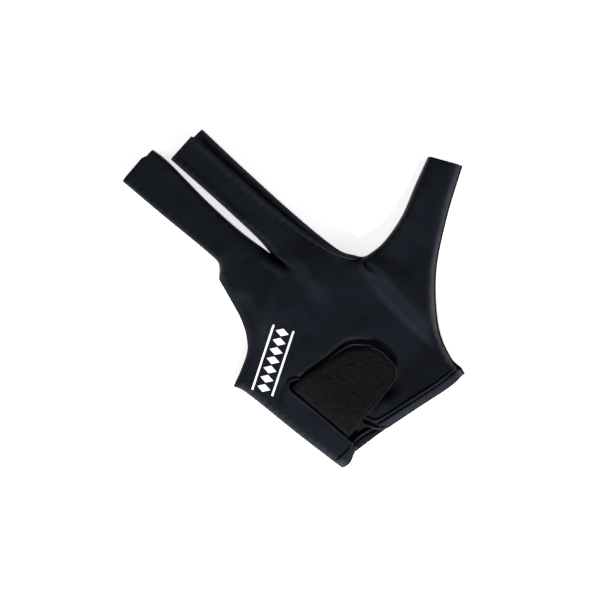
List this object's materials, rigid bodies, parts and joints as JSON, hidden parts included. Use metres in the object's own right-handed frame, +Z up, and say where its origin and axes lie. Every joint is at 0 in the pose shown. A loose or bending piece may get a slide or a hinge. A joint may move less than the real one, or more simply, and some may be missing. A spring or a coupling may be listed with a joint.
{
  "type": "billiard glove",
  "caption": "Left-hand stretch cloth glove lying palm down, with open sleeves for thumb, index and middle fingers, a wide side opening, and a slit wrist under a padded closing tab.",
  "frame": {"origin": "centre of the bounding box, on the surface that the glove lies on", "axes": "+Y along the index and middle sleeves towards their mouths, +X towards the thumb side, +Z up, from the palm to the back of the hand"},
  "size_m": [0.1728, 0.2092, 0.0121],
  "materials": {
    "back_cloth": "smooth navy black stretch cloth with a faint sheen",
    "palm_cloth": "fine black mesh knit",
    "pad_cloth": "brushed brownish black loop cloth, dull"
  },
  "bodies": {
    "root": {"back_panel": "back_cloth", "palm_panel": "palm_cloth", "index_gusset": "palm_cloth", "wrist_hem_palm": "back_cloth", "wrist_hem_little_side": "back_cloth", "wrist_hem_thumb_side": "back_cloth", "tab_backing": "back_cloth", "tab_pad": "pad_cloth"}
  },
  "joints": []
}
